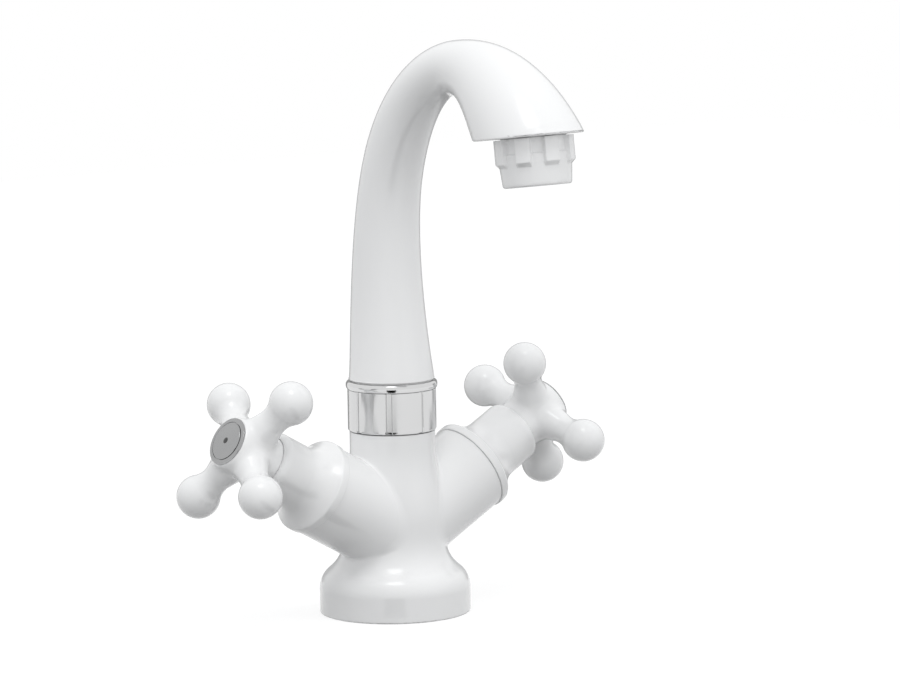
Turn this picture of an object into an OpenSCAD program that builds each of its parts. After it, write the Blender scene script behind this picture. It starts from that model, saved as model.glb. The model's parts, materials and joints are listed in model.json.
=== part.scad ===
// Basin mixer tap: a one-hole pillar mixer with a swivel gooseneck spout and two cross handles.
// The origin is the centre of the base's underside. +Z is up, the spout points to -Y,
// and the hot valve is on the left, at -X. All sizes are in millimetres.

/* [Base and column] */
// Diameter of the base
base_d = 56; // [54:0.5:60]
// Height of the base's upright wall
base_wall_h = 9; // [8:0.5:10]
// Rounding of the base's bottom edge
base_edge_r = 0.5; // [0.4:0.1:1]
// Rounding of the base's shoulder
shoulder_r = 9.2; // [8.4:0.2:10]
// Lean of the body where the shoulder runs into the waist, in degrees from upright
shoulder_slope = 51; // [47:1:54]
// Diameter of the column
column_d = 31.7; // [31:0.1:32.5]
// Height of the column, up to the union nut
column_h = 67.8; // [66.5:0.1:72]

/* [Underside] */
// Distance between the two inlets
inlet_pitch = 18; // [16:0.5:20]
// Core diameter of the thread for a flexible tail, M10 x 1
inlet_thread_d = 9; // [8.8:0.1:9.2]
// Depth of each inlet's thread
inlet_depth = 12; // [9:0.5:14]
// Distance of the fixing stud behind the centre
stud_back = 13; // [12:0.5:14]
// Core diameter of the stud's thread, M8
stud_thread_d = 6.8; // [6.6:0.1:7]
// Depth of the stud's thread
stud_depth = 14; // [10:0.5:16]
// Outer diameter of the base seal
seal_d = 49.6; // [48:0.2:50]
// Width of the base seal
seal_w = 3.6; // [3:0.1:4]
// Thickness of the base seal
seal_t = 2; // [1.5:0.1:2.5]

/* [Valve arms] */
// Height at which the arms' axes cross the column's axis
arm_z = 30.3; // [29.6:0.1:31]
// Rise of each arm above the level, in degrees
arm_tilt = 29; // [27:0.5:31]
// Diameter of an arm
arm_d = 34.2; // [33.4:0.2:34.6]
// Length of an arm, from the column's axis to its mouth
arm_len = 40; // [39:0.5:44]
// Diameter of the bore that takes the headwork, G 1/2
valve_bore_d = 20.8; // [20.6:0.1:21.2]
// Depth of that bore, from the mouth to the seat
valve_depth = 22; // [21:0.2:23]
// Diameter of the port through the seat
seat_port_d = 8.4; // [7.6:0.2:9]
// Diameter of the inlet passages
passage_d = 6.4; // [5.6:0.2:7]

/* [Headwork] */
// Diameter of the headwork's lower barrel
barrel_d = 18.4; // [18:0.1:19]
// Bore of the lower barrel, round the discs
barrel_bore_d = 15.2; // [14.8:0.1:15.6]
// Distance across the flats of the headwork's hexagon
hex_af = 22; // [21.6:0.2:22.4]
// Height of the hexagon
hex_h = 5; // [4:0.2:5.4]
// Diameter of the neck thread that holds the bonnet cover
neck_thread_d = 16; // [15:0.2:17]
// Diameter of the neck above its thread
neck_d = 14.4; // [13.6:0.2:14.8]
// Height of the headwork above the arm's mouth
neck_rise = 16; // [15.4:0.1:16.6]
// Diameter of the spindle
spindle_d = 10; // [9.4:0.1:10.4]
// Diameter of the spline's teeth
spline_d = 8.6; // [8.2:0.1:8.8]
// Number of teeth on the spline
spline_teeth = 20; // [16:1:24]
// Length of the spline
spline_len = 12; // [10:0.5:13]
// Thickness of each ceramic disc
disc_t = 2.6; // [2.3:0.1:2.8]
// Height of the seat seal
seat_seal_h = 2.8; // [2.4:0.1:3]
// Angle of each port in the discs, in degrees
port_angle = 70; // [60:1:75]

/* [Bonnet covers] */
// Diameter of the cover's flange
flange_d = 35.3; // [34.8:0.1:35.8]
// Height of the flange's upright rim
flange_rim_h = 2.6; // [2.2:0.1:3.4]
// Length of the flare, from the rim to the sleeve
flare_len = 8; // [7:0.1:9.4]
// Diameter of the cover's sleeve
sleeve_d = 24; // [23.6:0.1:25]
// Length of the cover, from the arm's mouth to its end
cover_len = 26; // [24:0.2:28]

/* [Cross handles] */
// Distance from the arm's mouth to the plane of the cross
cross_out = 36.4; // [35.4:0.2:38]
// Distance from the handle's axis to a ball's centre
ball_out = 25.7; // [24.5:0.1:27]
// Diameter of the balls
ball_d = 15.8; // [15:0.1:16.4]
// Diameter of an arm of the cross at its narrowest
limb_d = 9.8; // [9:0.1:10.4]
// Rounding between an arm of the cross and its ball
ball_blend_r = 6; // [5:0.25:6.5]
// Rounding between two arms of the cross
web_r = 10.3; // [9:0.1:10.8]
// Diameter of the hub behind the button
hub_d = 20.6; // [20.2:0.1:21.4]
// Height of the hub's front above the plane of the cross
hub_front = 6.9; // [6.5:0.1:7.4]
// Diameter of the skirt that enters the bonnet cover
skirt_d = 18.8; // [18:0.1:19]
// How far the hot handle is turned when it is shut, in degrees
left_turn = 52.3; // [0:0.1:90]
// How far the cold handle is turned when it is shut, in degrees
right_turn = 21.8; // [0:0.1:90]
// Diameter of the button
button_d = 18; // [17.4:0.1:18.6]
// Thickness of the button's rim
button_t = 1.1; // [1:0.1:1.5]
// Diameter of the button's inner face
button_face_d = 13.9; // [13:0.1:14.4]

/* [Union nut] */
// Diameter of the union nut
nut_d = 32.8; // [32.2:0.1:33.4]
// Height of the union nut
nut_h = 15.4; // [14.6:0.1:17]
// Number of flutes round the nut
nut_flutes = 8; // [6:1:12]
// How far the nut is turned once it is tight, in degrees
nut_turn = 4.5; // [0:0.5:45]
// Width of a flute
flute_w = 2.2; // [1.6:0.1:2.8]
// Depth of a flute
flute_deep = 0.35; // [0.2:0.05:0.5]
// Diameter of the trim ring above the nut
trim_d = 34; // [33.4:0.1:35]
// Height of the trim ring
trim_h = 3.1; // [2.6:0.1:3.6]

/* [Spout] */
// Diameter of the spout's foot
foot_d = 31.9; // [31.4:0.1:32.4]
// Diameter of the spout at the top of its leg
leg_top_d = 22.7; // [22:0.1:23.4]
// Diameter of the spout at its highest point
apex_d = 20; // [19.6:0.1:21]
// Diameter of the spout's tip, square to its own heading
tip_d = 38.6; // [37.8:0.1:39.2]
// Height of the leg, from the foot to where the arch begins
leg_rise = 78.2; // [74:0.2:84]
// Height from the foot to the arch's centre line
arch_rise = 117.1; // [112:0.1:124]
// Forward reach of the arch's highest point
apex_reach = 43.2; // [41.4:0.2:45.4]
// Forward reach of the outlet's centre
outlet_reach = 86; // [82:0.5:92]
// Height from the outlet's face up to the arch's centre line
outlet_drop = 22.2; // [21:0.1:23]
// Tilt of the outlet's face towards the front, in degrees
outlet_tilt = 7; // [4:0.5:10]
// Diameter of the waterway inside the spout
waterway_d = 15.2; // [13:0.2:15.6]
// Least wall of the spout
spout_wall = 2.8; // [2.4:0.1:3.2]
// Diameter of the spigot that turns in the column
spigot_d = 19; // [18.6:0.1:19.4]
// Length of the spigot below the spout's foot
spigot_len = 29.5; // [27:0.5:32]
// Bore of the spigot
spigot_bore_d = 13.2; // [12:0.2:13.4]

/* [Aerator] */
// Diameter of the aerator's thread, M24
aerator_thread_d = 24; // [23.4:0.1:24.4]
// Length of the aerator's thread
aerator_thread_len = 4.6; // [4:0.2:5]
// Diameter of the nozzle below its lugs
nozzle_d = 26; // [25.6:0.1:26.6]
// Diameter of the nozzle's end
nozzle_end_d = 24.5; // [24:0.1:25]
// Length of the nozzle
nozzle_len = 17.5; // [15.5:0.1:19]
// Diameter over the lugs
lug_span_d = 28.7; // [28:0.1:29.4]
// Length of the lugs' full height
lug_len = 8.4; // [7:0.1:9.4]
// Number of lugs
lug_count = 8; // [6:1:9]
// Width of a lug, in degrees
lug_angle = 25; // [20:1:28]
// Rows of holes in the flow straightener, round its centre hole
straightener_rows = 3; // [2:1:3]

/* [Hidden] */
$fn = 64;
LEFT = -1;
RIGHT = 1;

// Clearances
screw_fit = 0.1;      // round a thread that is screwed home
run_fit = 0.05;       // round a piece that turns in its bore
face_gap = 0.05;      // between flat faces that slide on each other
joint_gap = 0.3;      // seams that show
cut = 0.5;            // overrun of a cut past the face that it opens

// Places along the outlet's axis, measured outward from the outlet's face
aerator_washer_t = 1.2;
aerator_seat = aerator_thread_len + aerator_washer_t;
nozzle_wall = 3;
nozzle_lip_t = 1.3;
nozzle_lip_w = 0.8;
nozzle_recess = 5.5;
nozzle_recess_deep = 0.6;
insert_r = nozzle_d / 2 - nozzle_wall;
insert_end = nozzle_len - nozzle_lip_t;
insert_wall = 1.2;
screen_t = 0.8;
screen_rows = 4;
screen_pitch = 2.2;
screen_hole_r = 0.8;
plate_t = 2.4;
plate_pitch = 2.5;
plate_hole_r = 1.05;
lug_shift = 9;
lug_root = 1;

// Outline helpers
arc_steps = 8;
curve_steps = 12;
function arc(c, r, from, to, n = arc_steps) =
    [for (i = [0:n]) let (a = from + (to - from) * i / n) c + r * [cos(a), sin(a)]];
function bezier(p, n = curve_steps) =
    [for (i = [0:n]) let (t = i / n, s = 1 - t)
        s * s * s * p[0] + 3 * s * s * t * p[1] + 3 * s * t * t * p[2] + t * t * t * p[3]];
function tail(list) = [for (i = [1:len(list) - 1]) list[i]];

// Heights along the column, and what turns in it
nut_z = column_h + joint_gap;
nut_top = nut_z + nut_h;
nut_edge = 0.7;
flute_from = 1.4;
trim_bulge = 1.25;
trim_top = nut_top + trim_h;
slip_t = 0.35;
slip_inset = 1;
foot_z = trim_top + slip_t + face_gap;
neck_len = 11.2;
neck_top = column_h + neck_len;
neck_r = 13.2;
ring_t = 1.8;
ring_wide = 4;
ring_gap = 3;
spigot_r = spigot_d / 2;
spigot_end = foot_z - spigot_len;
ring_seat_deep = 1.2;
ring_seat_r = spigot_r - ring_seat_deep;
chamber_r = 7;
chamber_lift = 15;
chamber_z = arm_z + chamber_lift;
socket_floor = spigot_end - joint_gap;
mix_port_d = 5.2;
mix_port_lift = 1.8;
mix_port_z = chamber_z + mix_port_lift;
mix_port_short = 2;
thread_step = 0.9;
spout_thread_r = spigot_r + thread_step;
spout_thread_len = 11;
o_ring_r = 0.95;
o_ring_from = 4;
o_ring_apart = 6;
o_ring_z = [spigot_end + o_ring_from, spigot_end + o_ring_from + o_ring_apart];

// Base and column outline
base_r = base_d / 2;
column_r = column_d / 2;
shoulder_end = [base_r - shoulder_r * (1 - cos(shoulder_slope)),
                base_wall_h + shoulder_r * sin(shoulder_slope)];
waist_pull = 9.3;
waist_rise = 26.3;
waist_top = 58;
function waist() = bezier([
    shoulder_end,
    shoulder_end + waist_pull * [-sin(shoulder_slope), cos(shoulder_slope)],
    [column_r, waist_top - waist_rise],
    [column_r, waist_top]]);
body_outline = concat(
    [[0, 0]],
    arc([base_r - base_edge_r, base_edge_r], base_edge_r, -90, 0),
    arc([base_r - shoulder_r, base_wall_h], shoulder_r, 0, shoulder_slope),
    tail(waist()),
    [[column_r, column_h], [neck_r, column_h], [neck_r, neck_top], [0, neck_top]]);

// Places along an arm, measured from the column's axis
seat = arm_len - valve_depth;
barrel_lift = 1;
barrel_foot = seat + barrel_lift;
fixed_disc_at = seat + seat_seal_h;
moving_disc_at = fixed_disc_at + disc_t + face_gap;
spindle_foot_at = moving_disc_at + disc_t + face_gap;
spindle_foot_t = 2.8;
washer_t = 0.55;
washer_at = spindle_foot_at + spindle_foot_t + face_gap;
bearing_at = washer_at + washer_t + face_gap;
plain_barrel_len = 10;
thread_from = seat + plain_barrel_len;
gasket_t = 1;
hex_at = arm_len + gasket_t;
hex_top = hex_at + hex_h;
neck_end = arm_len + neck_rise;
clip_t = 0.7;
clip_lift = 0.15;
clip_at = neck_end + clip_lift;
clip_wide = 2;
clip_deep = 0.8;
clip_mouth = 3;
skirt_lift = 2.5;
skirt_at = neck_end + skirt_lift;
spline_lead = 0.8;
spline_tooth = 0.4;
spline_at = skirt_at - spline_lead;
spline_end = spline_at + spline_len;
cross_at = arm_len + cross_out;
front_at = cross_at + hub_front;
screw_web = 5.2;
screw_seat = spline_end + screw_web;
screw_r = 2;
screw_hold = 12;
screw_short = 1;
screw_head_r = 3.6;
screw_head_t = 2.2;
screw_head_gap = 0.5;
screw_slot_w = 1;
screw_slot_deep = 1.3;
screw_slot_share = 0.7;
button_well_d = 15.6;
button_well_deep = 4;
button_wall = 1.3;
button_edge = 0.5;
button_sink = 0.2;
groove_w = 0.55;
groove_deep = 0.4;
hub_rim = 0.2;
hub_edge = 0.4;
hub_flare = 9;
root_run = 3;
limb_steps = 6;
ball_steps = 12;
port_from = 6;
disc_r = barrel_bore_d / 2 - run_fit;
disc_rim = 1;
port_inner = 2.6;
port_outer = disc_r - disc_rim;
window_short = 0.2;
seal_step = 0.4;
spindle_foot_r = disc_r - 0.2;
tongue_w = 3;
tongue_h = 1.2;
tongue_inset = 1;
spindle_r = spindle_d / 2;
spindle_ring_r = 0.7;
ring_groove_half = spindle_ring_r + face_gap;
spindle_rings = [for (below = [6.6, 3.4]) neck_end - below];
cover_gap = 0.35;
cover_edge = 0.4;
rim_pull = 1.2;
sleeve_pull = 4.5;
cover_round = 3;
cavity_gap = 0.5;
cover_from = arm_len + cover_gap;
cover_end = arm_len + cover_len;
cover_seat = hex_top + screw_fit;
cover_thread_len = 6;
hex_corner_r = hex_af / 2 / cos(30);

// Spout centre line. Each knot is forward reach, height, heading in degrees above forward,
// radius, change of radius for each millimetre, handle length behind and handle length ahead.
outlet_z = foot_z + arch_rise - outlet_drop;
leg_lean = 3;
tip_back = 0.6;
tip_down = 4.7;
foot_knot = [0, foot_z, 90, foot_d / 2, -0.177, 0, 6.6];
leg_knot = [leg_lean, foot_z + leg_rise, 72.8, leg_top_d / 2, -0.023, 29.2, 30.8];
apex_knot = [apex_reach, foot_z + arch_rise, 0, apex_d / 2, 0.119, 11.5, 15.2];
tip_knot = [outlet_reach - tip_back, outlet_z - tip_down, -54.1, tip_d / 2, 0.078, 24.3, 0];
run_out = 14;
leg_rings = 14;
arch_rings = 16;
spout_sides = 48;
channel_sides = 24;
function place(k) = [k[0], k[1], k[3]];
function toward(k) = [cos(k[2]), sin(k[2]), k[4]];
function span(a, b, n) = bezier(
    [place(a), place(a) + a[6] * toward(a), place(b) - b[5] * toward(b), place(b)], n);
spout_line = concat(
    span(foot_knot, leg_knot, leg_rings),
    tail(span(leg_knot, apex_knot, arch_rings)),
    tail(span(apex_knot, tip_knot, arch_rings)));
channel_from = 2;
channel_stop = 7;
outlet_heading = [sin(outlet_tilt), -cos(outlet_tilt)];
channel_end = [outlet_reach, outlet_z] - (aerator_seat - cut) * outlet_heading;
function unit(v) = v / norm(v);
tip_heading = [cos(tip_knot[2]), sin(tip_knot[2])];
function heading(i) = i == 0 ? [0, 1] : i == len(spout_line) - 1 ? tip_heading
    : unit([for (k = [0, 1]) spout_line[i + 1][k] - spout_line[i - 1][k]]);
function ring_at(p, d, r, n) =
    [for (k = [0:n - 1]) let (a = 360 * k / n)
        [r * sin(a), -(p[0] + r * cos(a) * d[1]), p[1] - r * cos(a) * d[0]]];

// A closed solid through a row of rings, each counterclockwise seen from the next
module tube(rings, n) {
    points = [for (ring = rings, p = ring) p];
    last = len(points) - n;
    polyhedron(points, concat(
        [[for (k = [0:n - 1]) k]],
        [for (i = [0:len(rings) - 2], k = [0:n - 1]) let (a = i * n + k, b = i * n + (k + 1) % n)
            [a, a + n, b + n, b]],
        [[for (k = [0:n - 1]) last + n - 1 - k]]));
}

// Frames of the valves and of the outlet
module in_arm(side) {
    translate([0, 0, arm_z]) rotate([0, side * (90 - arm_tilt), 0]) children();
}
module at_outlet() {
    translate([0, -outlet_reach, outlet_z]) rotate([180 - outlet_tilt, 0, 0]) children();
}
module ring(r_out, r_in, h) {
    difference() {
        cylinder(r = r_out, h = h);
        translate([0, 0, -cut]) cylinder(r = r_in, h = h + 2 * cut);
    }
}
module o_ring(r_out, section_r) {
    rotate_extrude() translate([r_out - section_r, 0]) circle(r = section_r, $fn = 24);
}
module sector(r, angle, h) {
    rotate([0, 0, -angle / 2]) rotate_extrude(angle = angle) square([r, h]);
}

// Body: base, column and the two valve arms
module tap_body() {
    color("white") difference() {
        union() {
            rotate_extrude() polygon(body_outline);
            for (side = [LEFT, RIGHT]) in_arm(side) cylinder(d = arm_d, h = arm_len);
        }
        spout_socket();
        for (side = [LEFT, RIGHT]) valve_passages(side);
        translate([0, stud_back, -cut]) cylinder(d = stud_thread_d, h = stud_depth + cut);
        seal_groove();
    }
}
module spout_socket() {
    translate([0, 0, socket_floor]) cylinder(r = spigot_r + run_fit, h = neck_top);
    translate([0, 0, chamber_z]) cylinder(r = chamber_r, h = socket_floor - chamber_z + cut);
}
module valve_passages(side) {
    inlet_x = side * inlet_pitch / 2;
    inlet_top = arm_z + inlet_pitch / 2 * tan(arm_tilt);
    in_arm(side) translate([0, 0, seat]) cylinder(d = valve_bore_d, h = valve_depth + cut);
    in_arm(side) translate([0, 0, port_from]) cylinder(d = seat_port_d, h = seat - port_from + cut);
    translate([inlet_x, 0, -cut]) cylinder(d = inlet_thread_d, h = inlet_depth + cut);
    translate([inlet_x, 0, 0]) cylinder(d = passage_d, h = inlet_top);
    translate([0, 0, mix_port_z]) rotate([0, side * 90, 0])
        cylinder(d = mix_port_d, h = seat * cos(arm_tilt) - mix_port_short);
}
module seal_groove() {
    translate([0, 0, -cut]) ring(seal_d / 2 + screw_fit, seal_d / 2 - seal_w - screw_fit, seal_t + cut);
}
module base_seal() {
    color("dimgray") ring(seal_d / 2, seal_d / 2 - seal_w, seal_t);
}

// Union nut, trim ring and what holds the spout down
module union_nut() {
    flange_at = neck_top + ring_t + screw_fit - nut_z;
    color("silver") translate([0, 0, nut_z]) difference() {
        rotate_extrude() polygon([
            [neck_r + screw_fit, 0], [nut_d / 2 - nut_edge, 0], [nut_d / 2, nut_edge],
            [nut_d / 2, nut_h], [spigot_r + joint_gap, nut_h], [spigot_r + joint_gap, flange_at],
            [neck_r + screw_fit, flange_at]]);
        for (i = [0:nut_flutes - 1]) rotate([0, 0, nut_turn + 360 / nut_flutes * i])
            translate([nut_d / 2 - flute_deep, -flute_w / 2, flute_from])
                cube([flute_deep + cut, flute_w, nut_h]);
    }
}
module trim_ring() {
    middle = trim_h / 2;
    band_r = trim_d / 2 - trim_bulge;
    color("silver") translate([0, 0, nut_top]) rotate_extrude() polygon(concat(
        [[spigot_r + joint_gap, 0]],
        [for (a = [-90:180 / curve_steps:90]) [band_r + trim_bulge * cos(a), middle * (1 + sin(a))]],
        [[spigot_r + joint_gap, trim_h]]));
}
module slip_washer() {
    color("white") translate([0, 0, trim_top]) ring(foot_d / 2 - slip_inset, spigot_r + joint_gap, slip_t);
}
module retaining_ring() {
    color("ivory") translate([0, 0, neck_top]) difference() {
        ring(ring_seat_r + ring_wide, ring_seat_r + run_fit, ring_t);
        translate([0, -ring_gap / 2, -cut]) cube([neck_r, ring_gap, ring_t + 2 * cut]);
    }
}

// Spout: a hollow gooseneck that widens to its outlet
module spout() {
    last = len(spout_line) - 1;
    skin = concat(
        [for (i = [0:last]) ring_at(spout_line[i], heading(i), spout_line[i][2], spout_sides)],
        [ring_at(spout_line[last] + run_out * [tip_heading[0], tip_heading[1], 0],
            tip_heading, spout_line[last][2], spout_sides)]);
    waterway = concat(
        [for (i = [channel_from:last - channel_stop]) ring_at(spout_line[i], heading(i),
            min(waterway_d / 2, spout_line[i][2] - spout_wall), channel_sides)],
        [ring_at(channel_end, outlet_heading, waterway_d / 2, channel_sides)]);
    color("white") difference() {
        tube(skin, spout_sides);
        tube(waterway, channel_sides);
        at_outlet() translate([-tip_d, -tip_d, 0]) cube([2 * tip_d, 2 * tip_d, tip_d]);
        translate([0, 0, foot_z - cut])
            cylinder(r = spout_thread_r + screw_fit, h = spout_thread_len + screw_fit + cut);
        at_outlet() translate([0, 0, -aerator_seat]) cylinder(d = aerator_thread_d, h = aerator_seat + cut);
    }
}
module spout_spigot() {
    grooves = [for (z = o_ring_z) [z - o_ring_r - face_gap, z + o_ring_r + face_gap]];
    color("goldenrod") difference() {
        union() {
            translate([0, 0, spigot_end]) cylinder(r = spigot_r, h = spigot_len + cut);
            translate([0, 0, foot_z]) cylinder(r = spout_thread_r, h = spout_thread_len);
        }
        translate([0, 0, spigot_end - cut])
            cylinder(d = spigot_bore_d, h = spigot_len + spout_thread_len + 2 * cut);
        for (g = grooves) translate([0, 0, g[0]])
            ring(spigot_r + cut, spigot_r - 2 * o_ring_r, g[1] - g[0]);
        translate([0, 0, neck_top - screw_fit])
            ring(spigot_r + cut, ring_seat_r, ring_t + 2 * screw_fit);
    }
}
module spout_o_rings() {
    color("dimgray") for (z = o_ring_z) translate([0, 0, z]) o_ring(spigot_r + run_fit / 2, o_ring_r);
}

// Aerator
module aerator_housing() {
    neck = aerator_thread_d / 2 - screw_fit;
    r = nozzle_d / 2;
    recess_r = r - nozzle_recess_deep;
    lug_inner_r = recess_r - lug_root;
    color("white") at_outlet() difference() {
        union() {
            rotate_extrude() polygon([
                [0, -aerator_thread_len], [neck, -aerator_thread_len], [neck, screw_fit],
                [recess_r, screw_fit], [recess_r, nozzle_recess], [r, nozzle_recess + nozzle_recess_deep],
                [r, lug_len], [nozzle_end_d / 2, nozzle_len], [0, nozzle_len]]);
            for (i = [0:lug_count - 1]) rotate([0, 0, 360 / lug_count * i - lug_shift - lug_angle / 2])
                rotate_extrude(angle = lug_angle) polygon([
                    [lug_inner_r, screw_fit], [lug_span_d / 2, screw_fit], [lug_span_d / 2, lug_len],
                    [lug_inner_r, lug_len + lug_span_d / 2 - lug_inner_r]]);
        }
        translate([0, 0, -aerator_thread_len - cut])
            cylinder(r = insert_r + screw_fit, h = aerator_thread_len + cut + insert_end);
        cylinder(r = insert_r - nozzle_lip_w, h = nozzle_len + cut);
    }
}
module aerator_washer() {
    color("dimgray") at_outlet() translate([0, 0, -aerator_seat])
        ring(aerator_thread_d / 2 - screw_fit, insert_r - nozzle_lip_w, aerator_washer_t);
}
module hole_rows(rows, step, hole_r, h) {
    cylinder(r = hole_r, h = h, $fn = 16);
    for (row = [1:rows], i = [0:6 * row - 1]) rotate([0, 0, 60 / row * i]) translate([row * step, 0, 0])
        cylinder(r = hole_r, h = h, $fn = 16);
}
module flow_straightener() {
    top = screen_t - aerator_thread_len;
    shell_end = insert_end - plate_t;
    color("white") at_outlet() difference() {
        translate([0, 0, top]) cylinder(r = insert_r, h = insert_end - face_gap - top);
        translate([0, 0, top - cut]) cylinder(r = insert_r - insert_wall, h = shell_end - top + cut);
        translate([0, 0, shell_end - cut])
            hole_rows(straightener_rows, plate_pitch, plate_hole_r, plate_t + 2 * cut);
    }
}
module aerator_screen() {
    color("silver") at_outlet() translate([0, 0, -aerator_thread_len]) difference() {
        cylinder(r = insert_r, h = screen_t);
        translate([0, 0, -cut]) hole_rows(screen_rows, screen_pitch, screen_hole_r, screen_t + 2 * cut);
    }
}

// Headwork: the brass valve that screws into an arm
module headwork(side) {
    color("goldenrod") in_arm(side) difference() {
        union() {
            translate([0, 0, barrel_foot]) cylinder(d = barrel_d, h = thread_from - barrel_foot);
            translate([0, 0, thread_from])
                cylinder(r = valve_bore_d / 2 - screw_fit, h = hex_at - thread_from);
            translate([0, 0, hex_at]) cylinder(r = hex_corner_r, h = hex_h, $fn = 6);
            translate([0, 0, hex_at]) cylinder(d = neck_thread_d, h = hex_h + cover_thread_len + screw_fit);
            translate([0, 0, hex_at]) cylinder(d = neck_d, h = neck_end - hex_at);
        }
        translate([0, 0, barrel_foot - cut])
            cylinder(d = barrel_bore_d, h = bearing_at - barrel_foot + cut);
        translate([0, 0, barrel_foot]) cylinder(r = spindle_r + run_fit, h = neck_end);
        for (flip = [0, 180]) rotate([0, 0, flip]) translate([0, 0, moving_disc_at])
            sector(barrel_d, port_angle, disc_t - window_short);
    }
}
module gasket(side) {
    color("dimgray") in_arm(side) translate([0, 0, arm_len])
        ring(hex_af / 2, valve_bore_d / 2 + screw_fit, gasket_t);
}
module seat_seal(side) {
    color("dimgray") in_arm(side) translate([0, 0, seat])
        ring(disc_r, seat_port_d / 2 + seal_step, seat_seal_h);
}
module disc_ports(angle_at, inner, outer, h) {
    for (flip = [0, 180]) rotate([0, 0, angle_at + flip]) difference() {
        translate([0, 0, -cut]) sector(outer, port_angle, h + 2 * cut);
        translate([0, 0, -2 * cut]) cylinder(r = inner, h = h + 4 * cut);
    }
}
module fixed_disc(side) {
    color("lightgray") in_arm(side) translate([0, 0, fixed_disc_at]) difference() {
        cylinder(r = disc_r, h = disc_t);
        disc_ports(0, port_inner, port_outer, disc_t);
    }
}
module moving_disc(side) {
    color("gainsboro") in_arm(side) translate([0, 0, moving_disc_at]) difference() {
        cylinder(r = disc_r, h = disc_t);
        disc_ports(90, port_inner, disc_r + cut, disc_t);
        translate([-disc_r, -tongue_w / 2 - screw_fit, disc_t - tongue_h - screw_fit])
            cube([2 * disc_r, tongue_w + 2 * screw_fit, tongue_h + cut]);
    }
}

// Spindle and what turns with it
module spline(r, h) {
    linear_extrude(h) polygon([for (tooth = [0:spline_teeth - 1], corner = [0:3])
        let (a = 90 / spline_teeth * (4 * tooth + corner + 0.5), out = corner < 2 ? r : r - spline_tooth)
            out * [cos(a), sin(a)]]);
}
module spindle(side) {
    tongue_r = spindle_foot_r - tongue_inset;
    color("goldenrod") in_arm(side) difference() {
        union() {
            translate([0, 0, spindle_foot_at]) cylinder(r = spindle_foot_r, h = spindle_foot_t);
            translate([-tongue_r, -tongue_w / 2, spindle_foot_at - tongue_h])
                cube([2 * tongue_r, tongue_w, tongue_h + cut]);
            translate([0, 0, spindle_foot_at]) cylinder(r = spindle_r, h = spline_at - spindle_foot_at);
            translate([0, 0, spline_at - cut]) spline(spline_d / 2, spline_len + cut);
        }
        for (t = spindle_rings) translate([0, 0, t - ring_groove_half])
            ring(spindle_r + cut, spindle_r - 2 * spindle_ring_r, 2 * ring_groove_half);
        translate([0, 0, clip_at - face_gap])
            ring(spindle_r + cut, spindle_r - clip_deep, clip_t + 2 * face_gap);
        translate([0, 0, spline_end - screw_hold]) cylinder(r = screw_r + screw_fit, h = screw_hold + cut);
    }
}
module thrust_washer(side) {
    color("white") in_arm(side) translate([0, 0, washer_at])
        ring(spindle_foot_r, spindle_r + screw_fit, washer_t);
}
module spindle_o_rings(side) {
    color("dimgray") in_arm(side) for (t = spindle_rings) translate([0, 0, t])
        o_ring(spindle_r + run_fit / 2, spindle_ring_r);
}
module spindle_clip(side) {
    clip_r = spindle_r - clip_deep + screw_fit;
    color("silver") in_arm(side) translate([0, 0, clip_at]) difference() {
        ring(clip_r + clip_wide, clip_r, clip_t);
        translate([0, -clip_mouth / 2, -cut]) cube([neck_d, clip_mouth, clip_t + 2 * cut]);
    }
}

// Bonnet cover: the flared sleeve over a headwork
module bonnet_cover(side) {
    rim_r = flange_d / 2;
    sleeve_r = sleeve_d / 2;
    mouth_r = skirt_d / 2 + cover_gap;
    rim_top = cover_from + flange_rim_h;
    flare_end = rim_top + flare_len;
    cavity_r = hex_corner_r + cavity_gap;
    thread_r = neck_thread_d / 2 + screw_fit;
    thread_top = cover_seat + cover_thread_len;
    color("white") in_arm(side) rotate_extrude() polygon(concat(
        [[cavity_r, cover_from], [rim_r - cover_edge, cover_from], [rim_r, cover_from + cover_edge]],
        bezier([[rim_r, rim_top], [rim_r, rim_top + rim_pull],
                [sleeve_r, flare_end - sleeve_pull], [sleeve_r, flare_end]]),
        [for (i = [0:arc_steps]) let (a = 90 * i / arc_steps)
            [mouth_r + (sleeve_r - mouth_r) * cos(a), cover_end - cover_round * (1 - sin(a))]],
        [[mouth_r, thread_top], [thread_r, thread_top], [thread_r, cover_seat], [cavity_r, cover_seat]]));
}

// Cross handle: a hub with four limbs, each a turned neck that swells into a ball.
// In the plane of the cross, the roundings of two neighbouring limbs share one centre.
function limb_outline() = let (
    limb_r = limb_d / 2,
    ball_r = ball_d / 2,
    web_at = limb_r + web_r,
    web_turn = 40,
    web_start = web_at * [1, 1] - web_r * [cos(web_turn), sin(web_turn)],
    root = web_start + root_run * [sin(web_turn), -cos(web_turn)],
    blend_at = limb_r + ball_blend_r,
    blend_back = sqrt(pow(ball_r + ball_blend_r, 2) - pow(blend_at, 2)),
    meet = atan2(blend_back, blend_at))
    concat(
        [[0, root[1]], root],
        arc([web_at, web_at], web_r, 180 + web_turn, 180, limb_steps),
        arc([blend_at, ball_out - blend_back], ball_blend_r, 180, 180 - meet, limb_steps),
        tail(arc([0, ball_out], ball_r, -meet, 90, ball_steps)));
function hub_outline() = let (
    skirt_r = skirt_d / 2,
    hub_r = hub_d / 2,
    face_r = button_d / 2 + hub_rim)
    concat(
        [[0, skirt_at], [skirt_r - hub_edge, skirt_at], [skirt_r, skirt_at + hub_edge]],
        bezier([[skirt_r, cross_at - hub_flare], [skirt_r, cross_at - hub_flare / 2],
                [hub_r, cross_at - hub_flare / 2], [hub_r, cross_at]], limb_steps),
        tail(bezier([[hub_r, cross_at], [hub_r, cross_at + hub_front / 2],
                [hub_r, front_at - hub_edge], [face_r, front_at]], limb_steps)),
        [[0, front_at]]);
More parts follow.
